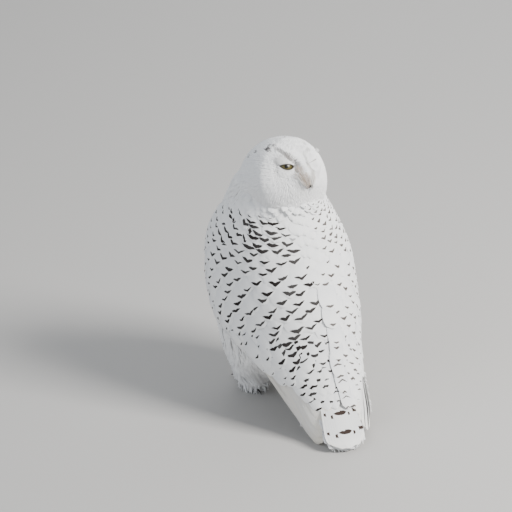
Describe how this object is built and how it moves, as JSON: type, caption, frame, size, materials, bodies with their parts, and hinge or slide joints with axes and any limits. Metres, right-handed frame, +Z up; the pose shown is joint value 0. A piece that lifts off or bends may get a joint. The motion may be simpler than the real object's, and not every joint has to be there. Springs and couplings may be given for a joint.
{
  "type": "snowy owl",
  "caption": "Life-size snowy owl standing on the floor, wings folded, looking back over its right shoulder.",
  "frame": {"origin": "middle of the bird's bounding box, at floor level", "axes": "+Z up; -Y the way the body heads; +X the bird's left"},
  "size_m": [0.2654, 0.3902, 0.493],
  "materials": {
    "coat": "soft white feathers with dark brown bars",
    "flight": "smooth cream flight feathers",
    "horn": "smooth black horn",
    "eye": "wet, glossy yellow"
  },
  "bodies": {
    "root": {"head": "coat", "neck": "coat", "trunk": "coat", "tail": "coat", "wing_left_coverts": "coat", "wing_left_secondaries": "coat", "wing_left_primaries": "flight", "wing_right_coverts": "coat", "wing_right_secondaries": "coat", "wing_right_primaries": "flight", "leg_left": "coat", "leg_right": "coat", "foot_left": "coat", "foot_right": "coat", "toe_left_inner": "coat", "toe_left_middle": "coat", "toe_left_outer": "coat", "toe_left_hind": "coat", "toe_right_inner": "coat", "toe_right_middle": "coat", "toe_right_outer": "coat", "toe_right_hind": "coat", "claw_left_inner": "horn", "claw_left_middle": "horn", "claw_left_outer": "horn", "claw_left_hind": "horn", "claw_right_inner": "horn", "claw_right_middle": "horn", "claw_right_outer": "horn", "claw_right_hind": "horn", "bill_upper": "horn", "bill_lower": "horn", "eye_left": "eye", "eye_right": "eye"}
  },
  "joints": []
}
